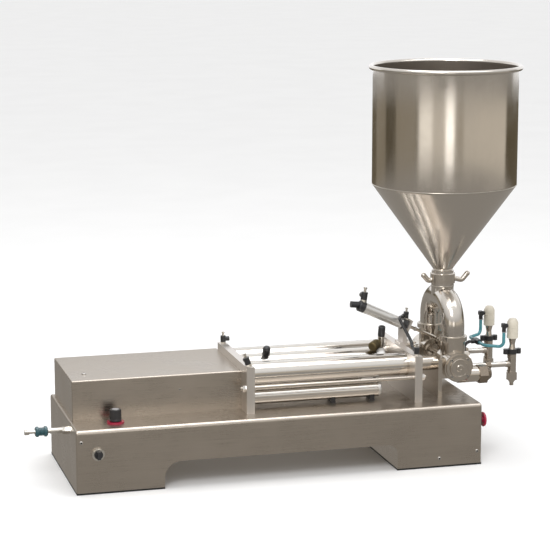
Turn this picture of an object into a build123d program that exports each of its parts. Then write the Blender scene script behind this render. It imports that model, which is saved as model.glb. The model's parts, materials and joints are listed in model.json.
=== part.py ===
from build123d import *
import math
import os

# Piston liquid filler, two heads side by side on one stainless base.
# Working frame while building: x from the left end of the base, y from the
# front face of the base towards the back, z up from the floor.  Everything is
# moved at the end so the origin is the bottom centre of the whole machine.
# All dimensions in millimetres.

# ---------------------------------------------------------------- base
BASE_LENGTH = 1000.0
BASE_DEPTH = 375.0
BASE_TOP = 153.0
SHEET = 3.0
PAD_HEIGHT = 4.0
LEG_LEFT_END = 209.0
LEG_RIGHT_START = 784.0
ARCH_HEIGHT = 65.0
ARCH_RADIUS_LEFT = 40.0
ARCH_RADIUS_RIGHT = 25.0
BASE_EDGE_RADIUS = 9.0

# ---------------------------------------------------------------- heads
FRONT_Y = 118.0
HEAD_SPACING = 160.0
BACK_Y = FRONT_Y + HEAD_SPACING
MID_Y = FRONT_Y + HEAD_SPACING / 2
HEADS = {"front": FRONT_Y, "back": BACK_Y}
TUBE_Z = 235.0
TUBE_OUTER = 28.0
TUBE_INNER = 25.0
GUIDE_Z = 177.0
GUIDE_OUTER = 18.0
GUIDE_INNER = 15.5
STROKE = 300.0
RUNNING_GAP = 0.05

# ---------------------------------------------------------------- plates and housing
PLATE_Y0 = 48.0
PLATE_Y1 = 340.0
PLATE_TOP = 267.0
REAR_PLATE_X = 420.0
REAR_PLATE_THICK = 20.0
FRONT_PLATE_X = 843.0
FRONT_PLATE_THICK = 19.0
SPIGOT = 6.0
HOUSING_X0 = 9.0
HOUSING_Y0 = 101.0
HOUSING_Y1 = 357.0
HOUSING_TOP = 248.0
HOUSING_SHEET = 2.0
TIE_ROD_Z = 214.0
TIE_ROD_RADIUS = 4.5
TIE_ROD_YS = (60.0, 328.0)
PORT_YS = (66.0, 322.0)
REAR_MID = REAR_PLATE_X + REAR_PLATE_THICK / 2
FRONT_MID = FRONT_PLATE_X + FRONT_PLATE_THICK / 2

# ---------------------------------------------------------------- valves
VALVE_X = 965.0
VALVE_Z = 228.0
VALVE_RADIUS = 37.0
VALVE_HALF = 39.0
ROTOR_RADIUS = 22.0
COVER_RADIUS = 33.0
CHEST_RADIUS = 31.0
CHEST_END = 1005.0
VALVE_OFFSET = 7.0
NECK_TOP = 288.0
OUTLET_X = 1012.0
UNION_X = 1053.0
DRAIN_X = 1018.0
DRAIN_Z = 206.0
DRAIN_OFFSET = 34.5
MOUNT_PLATE_X = 912.0
MOUNT_PLATE_THICK = 10.0
CRANK_RADIUS = 45.0
CRANK_SWING = 35.0
PIN_RADIUS = 4.0
SLOT_HALF = 4.9

# ---------------------------------------------------------------- valve actuator
ACT_SLOPE = 24.7
ACT_FRONT = (857.0, MID_Y, 320.4)
ACT_LENGTH = 107.0
ACT_RADIUS = 13.5

# ---------------------------------------------------------------- hopper
OUTLET_Z = 450.0
OUTLET_NECK = 1.5
HORN_RADIUS = 6.4
SEAM_Z = 668.0
RIM_Z = 956.0
HOPPER_RADIUS = 179.0
OUTLET_RADIUS = 23.0
HOPPER_SHEET = 2.0
RIM_ROLL = 6.0
ARCH_TOP_Z = 383.0
MANIFOLD_RADIUS = 28.0
MANIFOLD_BORE = 25.0

# ---------------------------------------------------------------- nozzles
NOZZLE_X = 1123.0
NOZZLE_TIP_Z = 163.0
PIPE_Z = 218.0
NEEDLE_LIFT = 8.0

# ---------------------------------------------------------------- air tubes
AIR_TUBE_RADIUS = 4.0
ELBOW_Z = 316.0
TUBE_PORT_Z = 301.0
TEE_X = 1060.0
TEE_Z = 262.0
ELBOW_LEAN = 28.0
EXHAUST_LEAN = 12.0
PORT_LIFT = 13.0
PORT_REACH = 17.0

# ---------------------------------------------------------------- controls and inlet
KNOB_AT = (104.0, 57.0)
BUTTON_AT = (25.0, 106.0)
SELECTOR_AT = (51.0, 96.0)
INLET_Y = 127.0
INLET_Z = 125.0
NIPPLE_RADIUS = 5.2
SLEEVE_SLIDE = 5.0
SLEEVE_X0 = -76.0
SLEEVE_X1 = -46.0

parts = {}


def add(name, *solids):
    """Keep one named piece made of one or more separate solids."""
    kept = []
    for shape in solids:
        kept.extend(shape.solids())
    parts[name] = Compound(children=kept) if len(kept) > 1 else kept[0]


def block(x0, x1, y0, y1, z0, z1):
    """Axis-aligned box between two corners."""
    centre = ((x0 + x1) / 2, (y0 + y1) / 2, (z0 + z1) / 2)
    return Pos(*centre) * Box(x1 - x0, y1 - y0, z1 - z0)


def frame_along(start, end):
    """Plane at start whose normal runs towards end."""
    direction = Vector(*end) - Vector(*start)
    side = (0, 1, 0) if abs(direction.normalized().Y) < 0.9 else (1, 0, 0)
    return Plane(origin=start, x_dir=side, z_dir=direction), direction.length


def rod(start, end, radius):
    """Solid round bar between two points."""
    plane, length = frame_along(start, end)
    bar = Cylinder(radius, length, align=(Align.CENTER, Align.CENTER, Align.MIN))
    return plane.location * bar


def ring(start, end, outer, inner):
    """Round bar with a bore right through."""
    plane, length = frame_along(start, end)
    grow = 1.0
    align = (Align.CENTER, Align.CENTER, Align.MIN)
    bar = Cylinder(outer, length, align=align)
    bore = Pos(0, 0, -grow) * Cylinder(inner, length + 2 * grow, align=align)
    return plane.location * (bar - bore)


def taper(start, end, radius0, radius1):
    """Cone frustum between two points."""
    plane, length = frame_along(start, end)
    cone = Cone(radius0, radius1, length, align=(Align.CENTER, Align.CENTER, Align.MIN))
    return plane.location * cone


def hexagon(start, end, across_flats):
    """Hexagonal bar between two points."""
    plane, length = frame_along(start, end)
    outline = RegularPolygon(across_flats / 2, 6, major_radius=False)
    return extrude(plane * outline, length)


def pipe(points, bend, radius):
    """Round tube run laid as straight lengths joined by tangent bends."""
    path = FilletPolyline(*points, radius=bend)
    start = Vector(*points[0])
    plane = Plane(origin=start, z_dir=Vector(*points[1]) - start)
    return sweep(plane * Circle(radius), path=path)


# ================================================================ base
def make_base():
    bottom = PAD_HEIGHT
    with BuildSketch(Plane.XZ) as outer:
        with BuildLine():
            Polyline(
                (0, bottom),
                (0, BASE_TOP),
                (BASE_LENGTH, BASE_TOP),
                (BASE_LENGTH, bottom),
                (LEG_RIGHT_START, bottom),
                (LEG_RIGHT_START, ARCH_HEIGHT - ARCH_RADIUS_RIGHT),
            )
            RadiusArc(
                (LEG_RIGHT_START, ARCH_HEIGHT - ARCH_RADIUS_RIGHT),
                (LEG_RIGHT_START - ARCH_RADIUS_RIGHT, ARCH_HEIGHT),
                -ARCH_RADIUS_RIGHT,
            )
            Line(
                (LEG_RIGHT_START - ARCH_RADIUS_RIGHT, ARCH_HEIGHT),
                (LEG_LEFT_END + ARCH_RADIUS_LEFT, ARCH_HEIGHT),
            )
            RadiusArc(
                (LEG_LEFT_END + ARCH_RADIUS_LEFT, ARCH_HEIGHT),
                (LEG_LEFT_END, ARCH_HEIGHT - ARCH_RADIUS_LEFT),
                -ARCH_RADIUS_LEFT,
            )
            Polyline(
                (LEG_LEFT_END, ARCH_HEIGHT - ARCH_RADIUS_LEFT),
                (LEG_LEFT_END, bottom),
                (0, bottom),
            )
        make_face()
    body = extrude(outer.sketch, -BASE_DEPTH)
    top_edges = body.edges().filter_by(Axis.X).group_by(Axis.Z)[-1]
    body = fillet(top_edges, BASE_EDGE_RADIUS)
    ends = body.edges().filter_by(Axis.Y).group_by(Axis.Z)[-1]
    body = fillet(ends, BASE_EDGE_RADIUS / 2)
    inner_y0 = SHEET
    inner_y1 = BASE_DEPTH - SHEET
    floor = ARCH_HEIGHT + SHEET
    upper = block(SHEET, BASE_LENGTH - SHEET, inner_y0, inner_y1, floor, BASE_TOP - SHEET)
    upper = fillet(upper.edges().filter_by(Axis.X).group_by(Axis.Z)[-1], BASE_EDGE_RADIUS - SHEET)
    body -= upper
    for x0, x1 in ((0, LEG_LEFT_END), (LEG_RIGHT_START, BASE_LENGTH)):
        body -= block(x0 + SHEET, x1 - SHEET, inner_y0, inner_y1, 0, floor + 1)
    body -= rod((-1, INLET_Y, INLET_Z), (SHEET + 1, INLET_Y, INLET_Z), 6.5)
    body -= rod((BASE_LENGTH - SHEET - 1, *BUTTON_AT), (BASE_LENGTH + 1, *BUTTON_AT), 8.0)
    body -= rod((*KNOB_AT, BASE_TOP - SHEET - 1), (*KNOB_AT, BASE_TOP + 1), 5.0)
    body -= rod((SELECTOR_AT[0], -1, SELECTOR_AT[1]), (SELECTOR_AT[0], SHEET + 1, SELECTOR_AT[1]), 8.0)
    add("base_cabinet", body)

    strips = []
    for x0, x1 in ((0, LEG_LEFT_END), (LEG_RIGHT_START, BASE_LENGTH)):
        outer_pad = block(x0, x1, 0, BASE_DEPTH, 0, PAD_HEIGHT)
        strips.append(outer_pad - block(x0 + 16, x1 - 16, 16, BASE_DEPTH - 16, -1, PAD_HEIGHT + 1))
    add("foot_pads", *strips)


# ================================================================ rear housing
def make_housing():
    shell = block(HOUSING_X0, REAR_PLATE_X, HOUSING_Y0, HOUSING_Y1, BASE_TOP, HOUSING_TOP)
    upper = shell.edges().group_by(Axis.Z)[-1].filter_by(Axis.X)
    shell = fillet(upper, 3.0)
    left = shell.edges().filter_by(Axis.Y).group_by(Axis.Z)[-1].sort_by(Axis.X)[0]
    shell = fillet(left, 2.5)
    shell -= block(
        HOUSING_X0 + HOUSING_SHEET,
        REAR_PLATE_X + 1,
        HOUSING_Y0 + HOUSING_SHEET,
        HOUSING_Y1 - HOUSING_SHEET,
        BASE_TOP - 1,
        HOUSING_TOP - HOUSING_SHEET - 1,
    )
    add("rear_housing", shell)


def housing_fasteners():
    """Pan-head screw on the lid and a blind rivet on the front face."""
    screw = rod((50, 167, HOUSING_TOP), (50, 167, HOUSING_TOP + 2.5), 5.5)
    screw = chamfer(screw.edges().group_by(Axis.Z)[-1], 1.0)
    rivet = rod((269, HOUSING_Y0, 212), (269, HOUSING_Y0 - 1.2, 212), 3.0)
    return [screw, rivet]


# ================================================================ end plates and tubes
def make_plates():
    rear_x1 = REAR_PLATE_X + REAR_PLATE_THICK
    front_x1 = FRONT_PLATE_X + FRONT_PLATE_THICK
    rear = block(REAR_PLATE_X, rear_x1, PLATE_Y0, PLATE_Y1, BASE_TOP, PLATE_TOP)
    front = block(FRONT_PLATE_X, front_x1, PLATE_Y0, PLATE_Y1, BASE_TOP, PLATE_TOP)
    for y in HEADS.values():
        rear -= rod((rear_x1 - SPIGOT, y, TUBE_Z), (rear_x1 + 1, y, TUBE_Z), TUBE_OUTER)
        rear -= rod((REAR_PLATE_X - 1, y, TUBE_Z), (rear_x1 + 1, y, TUBE_Z), 7.0 + RUNNING_GAP)
        rear -= rod((REAR_PLATE_X - 1, y, GUIDE_Z), (rear_x1 + 1, y, GUIDE_Z), 7.0 + RUNNING_GAP)
        front -= rod((FRONT_PLATE_X - 1, y, TUBE_Z), (FRONT_PLATE_X + SPIGOT, y, TUBE_Z), TUBE_OUTER)
        front -= rod((FRONT_PLATE_X - 1, y, TUBE_Z), (front_x1 + 1, y, TUBE_Z), 14.0)
    rear -= rod((REAR_PLATE_X - 1, MID_Y, TUBE_Z), (rear_x1 + 1, MID_Y, TUBE_Z), 9.0 + RUNNING_GAP)
    for y in TIE_ROD_YS:
        rear -= rod((REAR_PLATE_X - 1, y, TIE_ROD_Z), (rear_x1 + 1, y, TIE_ROD_Z), TIE_ROD_RADIUS)
        front -= rod((FRONT_PLATE_X - 1, y, TIE_ROD_Z), (front_x1 + 1, y, TIE_ROD_Z), TIE_ROD_RADIUS)
    for y in PORT_YS:
        rear -= rod((REAR_MID, y, PLATE_TOP - 10), (REAR_MID, y, PLATE_TOP + 1), 5.0)
        front -= rod((FRONT_MID, y, PLATE_TOP - 10), (FRONT_MID, y, PLATE_TOP + 1), 5.0)
    add("rear_plate", rear)
    add("front_plate", front)

    for name, y in HEADS.items():
        start = (rear_x1 - SPIGOT, y, TUBE_Z)
        end = (FRONT_PLATE_X + SPIGOT, y, TUBE_Z)
        add("product_cylinder_" + name, ring(start, end, TUBE_OUTER, TUBE_INNER))

    rods = []
    nuts = []
    for y in TIE_ROD_YS:
        rods.append(rod((REAR_PLATE_X - 12, y, TIE_ROD_Z), (front_x1 + 12, y, TIE_ROD_Z), TIE_ROD_RADIUS))
        for x0, x1 in ((REAR_PLATE_X - 8, REAR_PLATE_X), (front_x1, front_x1 + 8)):
            nut = hexagon((x0, y, TIE_ROD_Z), (x1, y, TIE_ROD_Z), 15.0)
            nuts.append(nut - rod((x0 - 1, y, TIE_ROD_Z), (x1 + 1, y, TIE_ROD_Z), TIE_ROD_RADIUS))
    add("tie_rods", *rods)
    add("tie_rod_nuts", *nuts)


# ================================================================ drive and guide cylinders
DRIVE_OUTER = 29.0
DRIVE_INNER = 25.0
DRIVE_END = 786.0
DRIVE_CAP_RADIUS = 31.0
GUIDE_END = 768.0


def make_drive():
    rear_x1 = REAR_PLATE_X + REAR_PLATE_THICK
    add("drive_cylinder", ring((rear_x1, MID_Y, TUBE_Z), (DRIVE_END, MID_Y, TUBE_Z), DRIVE_OUTER, DRIVE_INNER))
    cap = rod((DRIVE_END, MID_Y, TUBE_Z), (DRIVE_END + 24, MID_Y, TUBE_Z), DRIVE_CAP_RADIUS)
    cap = fillet(cap.edges().group_by(Axis.X)[-1], 6.0)
    foot = block(DRIVE_END + 2, DRIVE_END + 14, MID_Y - 14, MID_Y + 14, BASE_TOP, TUBE_Z)
    foot += block(DRIVE_END - 12, DRIVE_END + 14, MID_Y - 26, MID_Y + 26, BASE_TOP, BASE_TOP + 7)
    tubes = []
    caps = [cap + foot]
    feet = []
    for y in HEADS.values():
        tubes.append(ring((rear_x1, y, GUIDE_Z), (GUIDE_END, y, GUIDE_Z), GUIDE_OUTER, GUIDE_INNER))
        end_cap = rod((GUIDE_END, y, GUIDE_Z), (GUIDE_END + 9, y, GUIDE_Z), GUIDE_OUTER + 0.5)
        caps.append(fillet(end_cap.edges().group_by(Axis.X)[-1], 4.0))
        for x in (652.0, 752.0):
            saddle = block(x - 6, x + 6, y - 15, y + 15, BASE_TOP, BASE_TOP + 12)
            saddle -= rod((x - 7, y, GUIDE_Z), (x + 7, y, GUIDE_Z), GUIDE_OUTER)
            feet.append(saddle)
    add("guide_tubes", *tubes)
    add("cylinder_caps", *caps)
    add("guide_feet", *feet)


# ================================================================ moving carriage
PISTON_FACE = 834.0
CROSSHEAD_X0 = 348.0
CROSSHEAD_X1 = 372.0


def make_carriage():
    plate = block(CROSSHEAD_X0, CROSSHEAD_X1, FRONT_Y - 11, BACK_Y + 11, GUIDE_Z - 14, TUBE_Z + 9)
    plate -= block(CROSSHEAD_X0 - 1, CROSSHEAD_X1 + 1, FRONT_Y + 18, MID_Y - 18, GUIDE_Z - 15, TUBE_Z - 22)
    plate -= block(CROSSHEAD_X0 - 1, CROSSHEAD_X1 + 1, MID_Y + 18, BACK_Y - 18, GUIDE_Z - 15, TUBE_Z - 22)
    plate -= rod((CROSSHEAD_X0 - 1, MID_Y, TUBE_Z), (CROSSHEAD_X1 + 1, MID_Y, TUBE_Z), 6.0)
    seals = []
    nuts = []
    pistons = []
    guides = []
    for y in HEADS.values():
        for z in (TUBE_Z, GUIDE_Z):
            plate -= rod((CROSSHEAD_X0 - 1, y, z), (CROSSHEAD_X1 + 1, y, z), 5.0)
            nut = hexagon((CROSSHEAD_X0 - 7, y, z), (CROSSHEAD_X0, y, z), 15.0)
            nuts.append(nut - rod((CROSSHEAD_X0 - 8, y, z), (CROSSHEAD_X0 + 1, y, z), 5.0))
        shaft = rod((CROSSHEAD_X1, y, TUBE_Z), (PISTON_FACE - 24, y, TUBE_Z), 7.0)
        shaft += rod((CROSSHEAD_X0 - 12, y, TUBE_Z), (CROSSHEAD_X1, y, TUBE_Z), 5.0)
        head = rod((PISTON_FACE - 28, y, TUBE_Z), (PISTON_FACE, y, TUBE_Z), TUBE_INNER - 0.4)
        for x in (PISTON_FACE - 22, PISTON_FACE - 10):
            groove = ring((x, y, TUBE_Z), (x + 5, y, TUBE_Z), TUBE_INNER, TUBE_INNER - 3)
            head -= groove
            seals.append(ring((x, y, TUBE_Z), (x + 5, y, TUBE_Z), TUBE_INNER - RUNNING_GAP, TUBE_INNER - 3))
        pistons.append(shaft + head)
        guide = rod((CROSSHEAD_X1, y, GUIDE_Z), (GUIDE_END - 10, y, GUIDE_Z), 7.0)
        guide += rod((CROSSHEAD_X0 - 12, y, GUIDE_Z), (CROSSHEAD_X1, y, GUIDE_Z), 5.0)
        guide += rod((GUIDE_END - 24, y, GUIDE_Z), (GUIDE_END - 8, y, GUIDE_Z), GUIDE_INNER - RUNNING_GAP)
        guides.append(guide)
    add("product_pistons", *pistons)
    add("guide_rods", *guides)
    add("piston_seals", *seals)

    drive = rod((CROSSHEAD_X1, MID_Y, TUBE_Z), (DRIVE_END - 20, MID_Y, TUBE_Z), 9.0)
    drive += rod((CROSSHEAD_X0 - 14, MID_Y, TUBE_Z), (CROSSHEAD_X1, MID_Y, TUBE_Z), 6.0)
    drive += rod((DRIVE_END - 26, MID_Y, TUBE_Z), (DRIVE_END - 6, MID_Y, TUBE_Z), DRIVE_INNER - RUNNING_GAP)
    add("drive_piston_rod", drive)
    nut = hexagon((CROSSHEAD_X0 - 9, MID_Y, TUBE_Z), (CROSSHEAD_X0, MID_Y, TUBE_Z), 18.0)
    nuts.append(nut - rod((CROSSHEAD_X0 - 10, MID_Y, TUBE_Z), (CROSSHEAD_X0 + 1, MID_Y, TUBE_Z), 6.0))
    add("crosshead", plate)
    add("crosshead_nuts", *nuts)


# ================================================================ valves
def valve_span(sign, y):
    """Near and far ends of a valve body; sign points away from the other head."""
    centre = y + sign * VALVE_OFFSET
    return centre - sign * VALVE_HALF, centre + sign * VALVE_HALF


def make_valves():
    front_x1 = FRONT_PLATE_X + FRONT_PLATE_THICK
    mount_x1 = MOUNT_PLATE_X + MOUNT_PLATE_THICK
    adapters = []
    covers = []
    unions = []
    pipes = []
    flanges = []
    mount = block(MOUNT_PLATE_X, mount_x1, 74, BACK_Y + 44, BASE_TOP, 250)
    mount -= block(MOUNT_PLATE_X - 1, mount_x1 + 1, MID_Y - 30, MID_Y + 30, 205, 251)
    for name, y in HEADS.items():
        sign = -1 if name == "front" else 1
        inner_end, outer_end = valve_span(sign, y)
        near = (VALVE_X, inner_end, VALVE_Z)
        far = (VALVE_X, outer_end, VALVE_Z)
        centre = (VALVE_X, y, VALVE_Z)
        drain_y = y + sign * DRAIN_OFFSET
        body = rod(near, far, VALVE_RADIUS)
        body += rod(centre, (VALVE_X, y, NECK_TOP), 30.0)
        body += rod(centre, (OUTLET_X, y, PIPE_Z), 13.0)
        body += rod((VALVE_X, y, VALVE_Z - 2), (CHEST_END, y, VALVE_Z - 2), CHEST_RADIUS)
        body += rod((VALVE_X, drain_y, DRAIN_Z), (DRAIN_X, drain_y, DRAIN_Z), 19.0)
        body += block(mount_x1, VALVE_X, y - 30, y + 30, VALVE_Z - 30, VALVE_Z + 22)
        body -= rod(near, far, ROTOR_RADIUS + RUNNING_GAP)
        body -= rod(centre, (VALVE_X, y, NECK_TOP + 1), 16.0)
        body -= rod((mount_x1 - 1, y, TUBE_Z), (VALVE_X, y, TUBE_Z), 14.0)
        body -= rod(centre, (OUTLET_X + 1, y, PIPE_Z), 5.0)
        body -= block(OUTLET_X, OUTLET_X + 9, y - 15, y + 15, PIPE_Z - 20, PIPE_Z + 20)
        body -= rod(far, (VALVE_X, outer_end + sign * 12, VALVE_Z), COVER_RADIUS + 0.4)
        add("valve_body_" + name, body)

        adapter = ring((front_x1, y, TUBE_Z), (mount_x1, y, TUBE_Z), 19.0, 14.0)
        adapter += ring((front_x1, y, TUBE_Z), (front_x1 + 7, y, TUBE_Z), 27.0, 14.0)
        adapters.append(adapter)
        mount -= rod((MOUNT_PLATE_X - 1, y, TUBE_Z), (mount_x1 + 1, y, TUBE_Z), 19.0)

        cover = rod(far, (VALVE_X, outer_end + sign * 5, VALVE_Z), COVER_RADIUS)
        cover += rod(far, (VALVE_X, outer_end + sign * 9, VALVE_Z), 25.0)
        covers.append(cover)
        covers.append(ring(near, (VALVE_X, inner_end - sign * 6, VALVE_Z), 27.0, 8.0 + RUNNING_GAP))

        cap = hexagon((DRAIN_X, drain_y, DRAIN_Z), (DRAIN_X + 22, drain_y, DRAIN_Z), 42.0)
        cap += taper((DRAIN_X + 22, drain_y, DRAIN_Z), (DRAIN_X + 34, drain_y, DRAIN_Z), 20.0, 12.0)
        unions.append(cap)
        union = hexagon((UNION_X, y, PIPE_Z), (UNION_X + 12, y, PIPE_Z), 19.0)
        unions.append(union - rod((UNION_X - 1, y, PIPE_Z), (UNION_X + 13, y, PIPE_Z), 7.0))
        pipes.append(ring((OUTLET_X, y, PIPE_Z), (NOZZLE_X - 16, y, PIPE_Z), 7.0, 5.0))
        flanges.append(ring((VALVE_X, y, NECK_TOP), (VALVE_X, y, NECK_TOP + 11), 35.0, MANIFOLD_RADIUS))
    add("valve_mount_plate", mount)
    add("valve_adapters", *adapters)
    add("valve_covers", *covers)
    add("valve_unions", *unions)
    add("outlet_pipes", *pipes)
    add("manifold_flanges", *flanges)


def cover_fasteners():
    """Four button-head screws round each outer valve cover."""
    screws = []
    for name, y in HEADS.items():
        sign = -1 if name == "front" else 1
        _, outer_end = valve_span(sign, y)
        for k in range(4):
            angle = math.radians(45 + 90 * k)
            sx = VALVE_X + 29.0 * math.cos(angle)
            sz = VALVE_Z + 29.0 * math.sin(angle)
            screws.append(rod((sx, outer_end + sign * 5, sz), (sx, outer_end + sign * 8.5, sz), 3.0))
    return screws


def slope_vectors():
    angle = math.radians(ACT_SLOPE)
    along = (math.cos(angle), 0.0, -math.sin(angle))
    across = (math.sin(angle), 0.0, math.cos(angle))
    return along, across


def on_slope(s, n=0.0, y=MID_Y):
    """Point s along the actuator axis from its front end and n above it."""
    along, across = slope_vectors()
    x = ACT_FRONT[0] + s * along[0] + n * across[0]
    z = ACT_FRONT[2] + s * along[2] + n * across[2]
    return (x, y, z)


def pin_middle():
    """Distance along the actuator axis of the crank pin at mid swing."""
    along, _ = slope_vectors()
    return (VALVE_X - ACT_FRONT[0]) * along[0] + (VALVE_Z - ACT_FRONT[2]) * along[2]


def axis_height():
    """Height of the actuator axis above the valve shaft, square to the axis."""
    _, across = slope_vectors()
    return (ACT_FRONT[0] - VALVE_X) * across[0] + (ACT_FRONT[2] - VALVE_Z) * across[2]


CRANK_TRAVEL = 2 * CRANK_RADIUS * math.sin(math.radians(CRANK_SWING))


def make_rotor():
    front_in, front_end = valve_span(-1, FRONT_Y)
    back_in, back_end = valve_span(1, BACK_Y)
    shaft = rod((VALVE_X, front_end + 2, VALVE_Z), (VALVE_X, front_in - 2, VALVE_Z), ROTOR_RADIUS)
    shaft += rod((VALVE_X, back_in + 2, VALVE_Z), (VALVE_X, back_end - 2, VALVE_Z), ROTOR_RADIUS)
    shaft += rod((VALVE_X, front_in - 2, VALVE_Z), (VALVE_X, back_in + 2, VALVE_Z), 8.0)
    for y in HEADS.values():
        shaft -= rod((VALVE_X, y, VALVE_Z), (VALVE_X, y, VALVE_Z + ROTOR_RADIUS + 1), 12.0)
        shaft -= rod((VALVE_X, y, VALVE_Z), (VALVE_X - ROTOR_RADIUS - 1, y, VALVE_Z), 12.0)
    add("valve_rotor", shaft)

    tilt = ACT_SLOPE - CRANK_SWING
    px = VALVE_X + CRANK_RADIUS * math.sin(math.radians(tilt))
    pz = VALVE_Z + CRANK_RADIUS * math.cos(math.radians(tilt))
    y0 = MID_Y - 16
    y1 = MID_Y - 6
    hub = rod((VALVE_X, y0 - 6, VALVE_Z), (VALVE_X, y1, VALVE_Z), 15.0)
    boss = rod((px, y0, pz), (px, y1, pz), 9.0)
    arm = Plane(origin=(VALVE_X, y0, VALVE_Z), x_dir=(1, 0, 0), z_dir=(0, 1, 0)).location
    web_angle = math.degrees(math.atan2(pz - VALVE_Z, px - VALVE_X))
    web = Rot(0, 0, -web_angle) * (Pos(CRANK_RADIUS / 2, 0, 5) * Box(CRANK_RADIUS, 16, 10))
    lever = hub + boss + arm * web
    lever += rod((px, y1, pz), (px, MID_Y + 8, pz), PIN_RADIUS)
    lever -= rod((VALVE_X, y0 - 7, VALVE_Z), (VALVE_X, MID_Y, VALVE_Z), 8.0)
    add("valve_crank", lever)


def make_actuator():
    tube = ring(on_slope(-ACT_LENGTH), on_slope(0), ACT_RADIUS, ACT_RADIUS - 2.0)
    add("actuator_barrel", tube)
    nose = ring(on_slope(0), on_slope(14), ACT_RADIUS + 0.8, 4.0 + RUNNING_GAP)
    tail = rod(on_slope(-ACT_LENGTH - 16), on_slope(-ACT_LENGTH), ACT_RADIUS + 0.8)
    tail = fillet(tail.edges().sort_by(Axis.X)[0], 3.0)
    port_x, _, port_z = on_slope(-ACT_LENGTH - 10, 3)
    tail += rod((port_x, MID_Y, port_z), (port_x - 27, MID_Y, port_z + 3), 8.0)
    add("actuator_end_caps", nose, tail)

    bracket = Plane(
        origin=on_slope(14), x_dir=(0, 1, 0), z_dir=slope_vectors()[0]
    ).location * (Pos(0, 0, 3) * Box(40, 34, 6))
    bracket -= rod(on_slope(13), on_slope(21), 7.0)
    post_top = on_slope(17, -17)[2] + 12
    front_x1 = FRONT_PLATE_X + FRONT_PLATE_THICK
    post = block(front_x1 - 14, front_x1, MID_Y - 20, MID_Y + 20, PLATE_TOP, PLATE_TOP + 8)
    post += block(front_x1 - 6, front_x1 + 4, MID_Y - 20, MID_Y + 20, PLATE_TOP, post_top)
    bracket += post
    bracket -= rod(on_slope(-20), on_slope(14), ACT_RADIUS + 1.2)
    bracket -= rod(on_slope(-20), on_slope(40), 6.5)
    add("actuator_bracket", bracket)

    rest = pin_middle() - CRANK_TRAVEL / 2
    head = rod(on_slope(-68), on_slope(-56), ACT_RADIUS - 2.0 - RUNNING_GAP)
    shaft = rod(on_slope(-58), on_slope(rest - 10), 4.0)
    drop = CRANK_RADIUS * (1 + math.cos(math.radians(CRANK_SWING))) / 2 - axis_height()
    middle = on_slope(rest, drop, MID_Y + 1)
    cheek = Plane(origin=middle, x_dir=slope_vectors()[0], z_dir=(0, 1, 0)).location
    yoke = cheek * Box(24, 34, 8)
    slot = cheek * Box(2 * SLOT_HALF, 20, 20)
    add("actuator_rod", head + shaft + (yoke - slot))


# ================================================================ feed manifold and hopper
def make_feed():
    low = NECK_TOP
    points = ((VALVE_X, FRONT_Y, low), (VALVE_X, FRONT_Y, ARCH_TOP_Z), (VALVE_X, BACK_Y, ARCH_TOP_Z), (VALVE_X, BACK_Y, low))
    outer = pipe(points, 62.0, MANIFOLD_RADIUS)
    inner = pipe(points, 62.0, MANIFOLD_BORE)
    stub_top = 416.0
    outer += rod((VALVE_X, MID_Y, ARCH_TOP_Z), (VALVE_X, MID_Y, stub_top), MANIFOLD_RADIUS)
    inner += rod((VALVE_X, MID_Y, ARCH_TOP_Z), (VALVE_X, MID_Y, stub_top + 1), 21.0)
    add("feed_manifold", outer - inner)

    neck = ring((VALVE_X, MID_Y, stub_top), (VALVE_X, MID_Y, 446), 25.4, 21.0)
    neck += ring((VALVE_X, MID_Y, 446), (VALVE_X, MID_Y, OUTLET_Z), 27.5, 21.0)
    add("hopper_union", neck)

    nut = ring((VALVE_X, MID_Y, 418), (VALVE_X, MID_Y, 444), 31.0, 25.8)
    nut = chamfer(nut.edges().group_by(Axis.Z)[-1].sort_by(SortBy.RADIUS)[-1], 2.0)
    horns = []
    for side, reach in ((-1, 50.0), (1, 65.0)):
        x0 = VALVE_X + side * 28
        x1 = VALVE_X + side * (reach - 14)
        x2 = VALVE_X + side * reach
        horn = pipe(((x0, MID_Y, 428), (x1, MID_Y, 422), (x2, MID_Y, 438)), 8.0, HORN_RADIUS)
        horn += Pos(x2, MID_Y, 438) * Sphere(HORN_RADIUS + 0.4)
        horns.append(horn)
    nut += horns[0] + horns[1]
    nut -= rod((VALVE_X, MID_Y, 417), (VALVE_X, MID_Y, 445), 25.8)
    add("hopper_wing_nut", nut)

    r0 = OUTLET_RADIUS
    r1 = HOPPER_RADIUS
    t = HOPPER_SHEET
    with BuildSketch(Plane.XZ) as wall:
        with BuildLine():
            Polyline(
                (r0, OUTLET_Z),
                (r0, OUTLET_Z + OUTLET_NECK),
                (r1, SEAM_Z),
                (r1, RIM_Z),
                (r1 - t, RIM_Z),
                (r1 - t, SEAM_Z + 1),
                (r0 - t, OUTLET_Z + OUTLET_NECK + 1),
                (r0 - t, OUTLET_Z),
                close=True,
            )
        make_face()
    vessel = revolve(wall.sketch, Axis.Z)
    with BuildSketch(Plane.XZ) as roll:
        with Locations((r1 + RIM_ROLL - t, RIM_Z)):
            Circle(RIM_ROLL)
    vessel += revolve(roll.sketch, Axis.Z)
    add("hopper", Pos(VALVE_X, MID_Y, 0) * vessel)


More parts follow.
